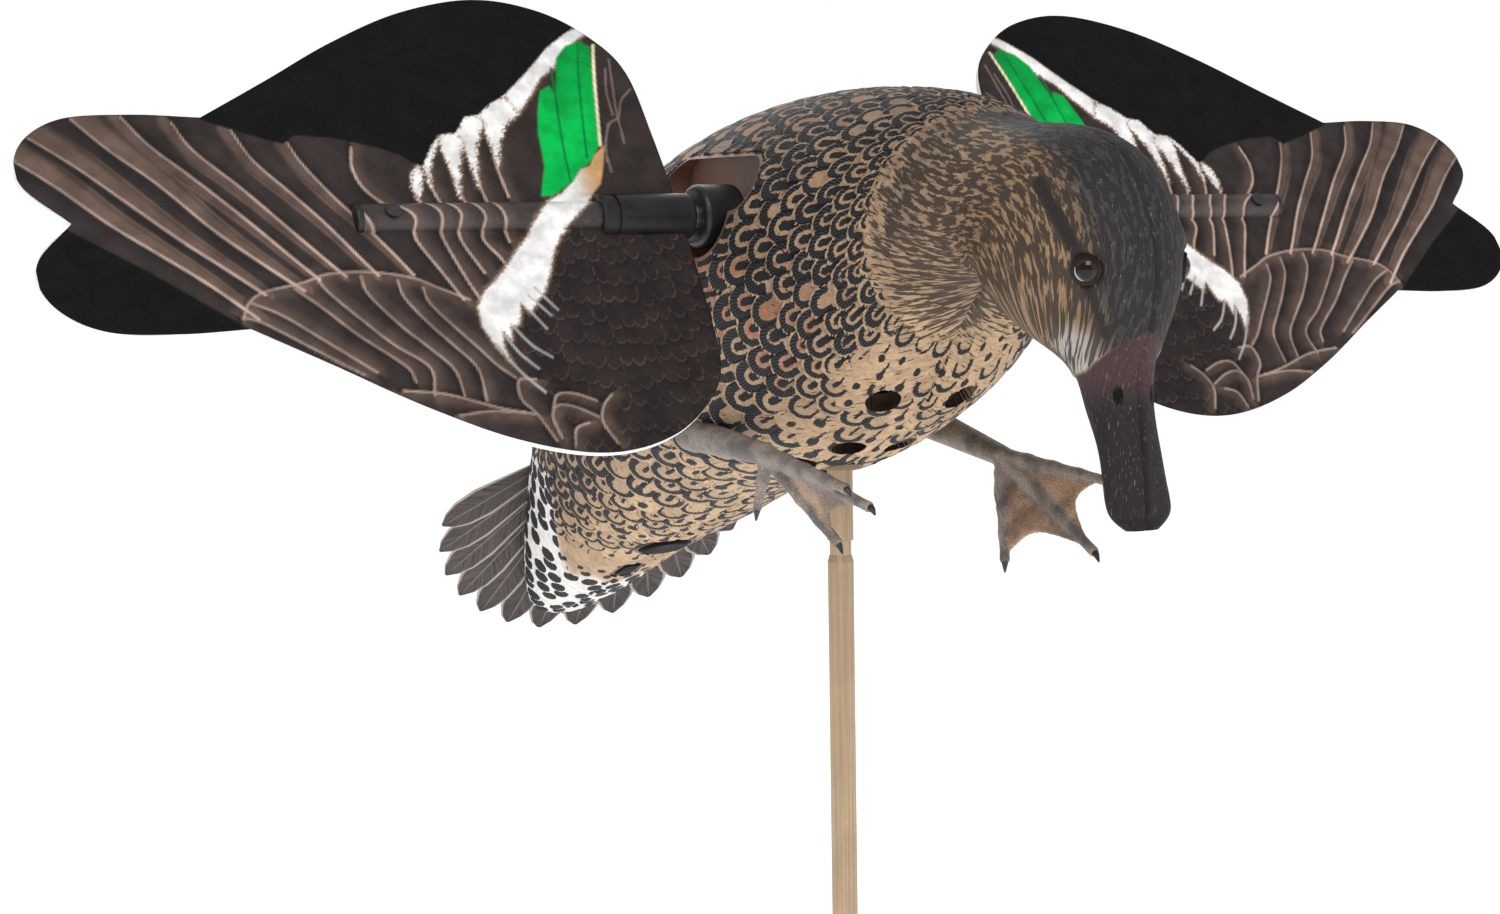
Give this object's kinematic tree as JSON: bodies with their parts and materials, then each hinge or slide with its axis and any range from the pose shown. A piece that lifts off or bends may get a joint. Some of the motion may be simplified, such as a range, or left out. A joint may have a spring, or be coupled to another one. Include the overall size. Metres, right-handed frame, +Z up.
{
  "type": "motion wing decoy",
  "caption": "Hen teal decoy in a landing pose on a sectional pole, with two printed panel wings that an inner motor spins about one cross shaft.",
  "frame": {"origin": "centre of the pole's open lower end", "axes": "+Z up along the pole, -Y the way the duck faces, +X the duck's left, along its left wing"},
  "size_m": [0.5912, 0.4381, 0.5062],
  "materials": {
    "shell": "painted feather pattern, satin",
    "tail": "moulded feathers, satin",
    "eye": "polished",
    "foot": "moulded, painted",
    "liner": "smooth moulding",
    "pole": "satin powder coat",
    "steel": "turned",
    "clip": "bright spring strip",
    "brass": "sintered",
    "nylon": "moulded nylon",
    "black": "moulded, fine grain",
    "black_satin": "satin moulding",
    "cap": "moulded",
    "cell_wrap": "shrink wrap",
    "board": "solder mask",
    "core": "sheet, plain",
    "print": "printed, fine grain"
  },
  "bodies": {
    "lower_pole": {"lower_pole": "pole"},
    "upper_pole": {"upper_pole": "pole"},
    "pole_bush": {"pole_bush": "nylon"},
    "decoy": {"body_shell_left": "shell", "body_shell_right": "shell", "seam_dowels": "steel", "tail_fan": "tail", "eye_left": "eye", "eye_right": "eye", "foot_left": "foot", "foot_right": "foot", "foot_screws": "steel", "wing_pocket_left": "liner", "wing_pocket_right": "liner", "pole_receiver": "black", "chassis_plate": "black", "plate_screws": "steel", "battery_tray": "black", "battery_pack": "cell_wrap", "control_board": "board", "motor_saddle": "black", "motor_clamp": "black", "motor_screws": "steel", "motor": "steel", "shaft_bush_left": "brass", "shaft_bush_right": "brass", "port_cup": "black", "charge_jack": "black", "switch_housing": "black", "rocker_pin": "steel"},
    "wing_shaft": {"wing_shaft": "steel", "wing_hub_left": "black", "wing_hub_right": "black", "hub_clip_left": "clip", "hub_clip_right": "clip", "hub_magnet_left": "steel", "hub_magnet_right": "steel", "hub_screws": "steel"},
    "wing_left": {"wing_stud_left": "steel", "wing_sleeve_left": "black_satin", "wing_tube_left": "print", "tube_plug_left": "black", "wing_rivet_left": "steel", "wing_core_left": "core", "wing_print_left": "print"},
    "wing_right": {"wing_stud_right": "steel", "wing_sleeve_right": "black_satin", "wing_tube_right": "print", "tube_plug_right": "black", "wing_rivet_right": "steel", "wing_core_right": "core", "wing_print_right": "print"},
    "charge_cap": {"charge_cap": "cap"},
    "rocker": {"rocker": "black_satin"}
  },
  "joints": [
    {"name": "pole_pull", "type": "slide", "parent": "lower_pole", "child": "upper_pole", "axis": [0, 0, 1], "range_m": [0, 0.03]},
    {"name": "decoy_lift", "type": "slide", "parent": "upper_pole", "child": "pole_bush", "axis": [0, 0, 1], "range_m": [0, 0.058]},
    {"name": "decoy_swivel", "type": "hinge", "parent": "pole_bush", "child": "decoy", "pos_m": [0, 0, 0.4], "axis": [0, 0, 1], "continuous": true},
    {"name": "wing_spin", "type": "hinge", "parent": "decoy", "child": "wing_shaft", "pos_m": [0, -0.014, 0.43], "axis": [1, 0, 0], "continuous": true},
    {"name": "wing_left_pull", "type": "slide", "parent": "wing_shaft", "child": "wing_left", "axis": [1, 0, 0], "range_m": [0, 0.025]},
    {"name": "wing_right_pull", "type": "slide", "parent": "wing_shaft", "child": "wing_right", "axis": [-1, 0, 0], "range_m": [0, 0.025]},
    {"name": "cap_pull", "type": "slide", "parent": "decoy", "child": "charge_cap", "axis": [0, -0.333, -0.9429], "range_m": [0, 0.015]},
    {"name": "rocker_rock", "type": "hinge", "parent": "decoy", "child": "rocker", "pos_m": [0, 0.1765, 0.2867], "axis": [1, 0, 0], "range_deg": [-7, 7]}
  ]
}
